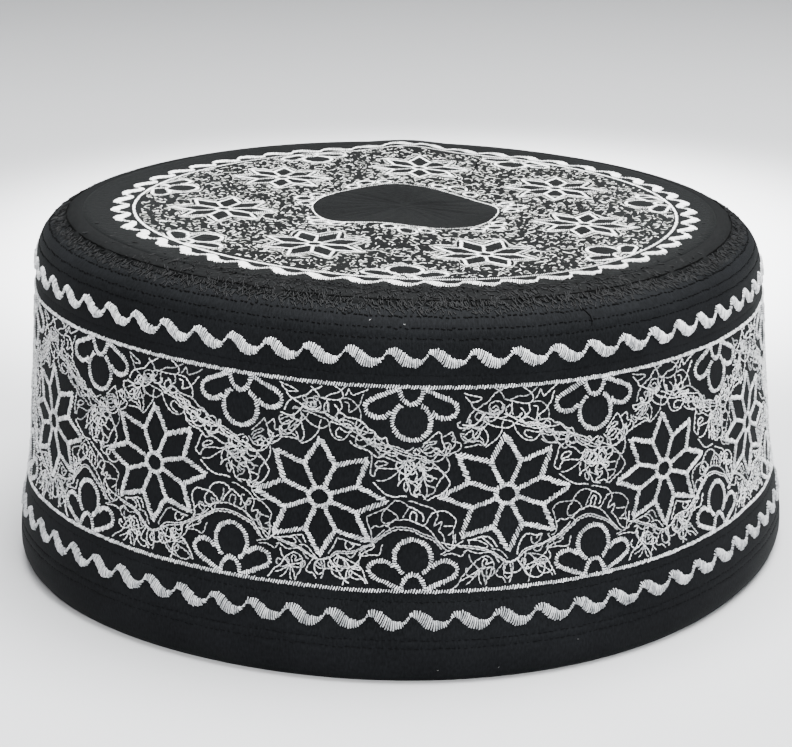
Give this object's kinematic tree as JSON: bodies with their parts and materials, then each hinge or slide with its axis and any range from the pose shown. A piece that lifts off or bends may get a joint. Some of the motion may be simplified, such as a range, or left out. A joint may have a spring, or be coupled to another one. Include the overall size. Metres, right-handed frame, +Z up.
{
  "type": "prayer cap",
  "caption": "Soft round prayer cap with an upright quilted side band, a gently domed crown and raised wave borders, open below for the head.",
  "frame": {"origin": "on the floor, under the middle of the cap's outline", "axes": "+Z up out of the crown, -Y towards the front, +X towards the cap's lower side"},
  "size_m": [0.193, 0.1948, 0.0879],
  "materials": {
    "black_cloth": "matt tight weave, soft sheen",
    "black_thread": "slightly glossy sewing thread",
    "light_thread": "lustrous embroidery thread"
  },
  "bodies": {
    "root": {"side_band": "black_cloth", "crown": "black_cloth", "crown_seam": "black_thread", "upper_wave": "light_thread", "lower_wave": "light_thread", "crown_wave": "light_thread"}
  },
  "joints": []
}
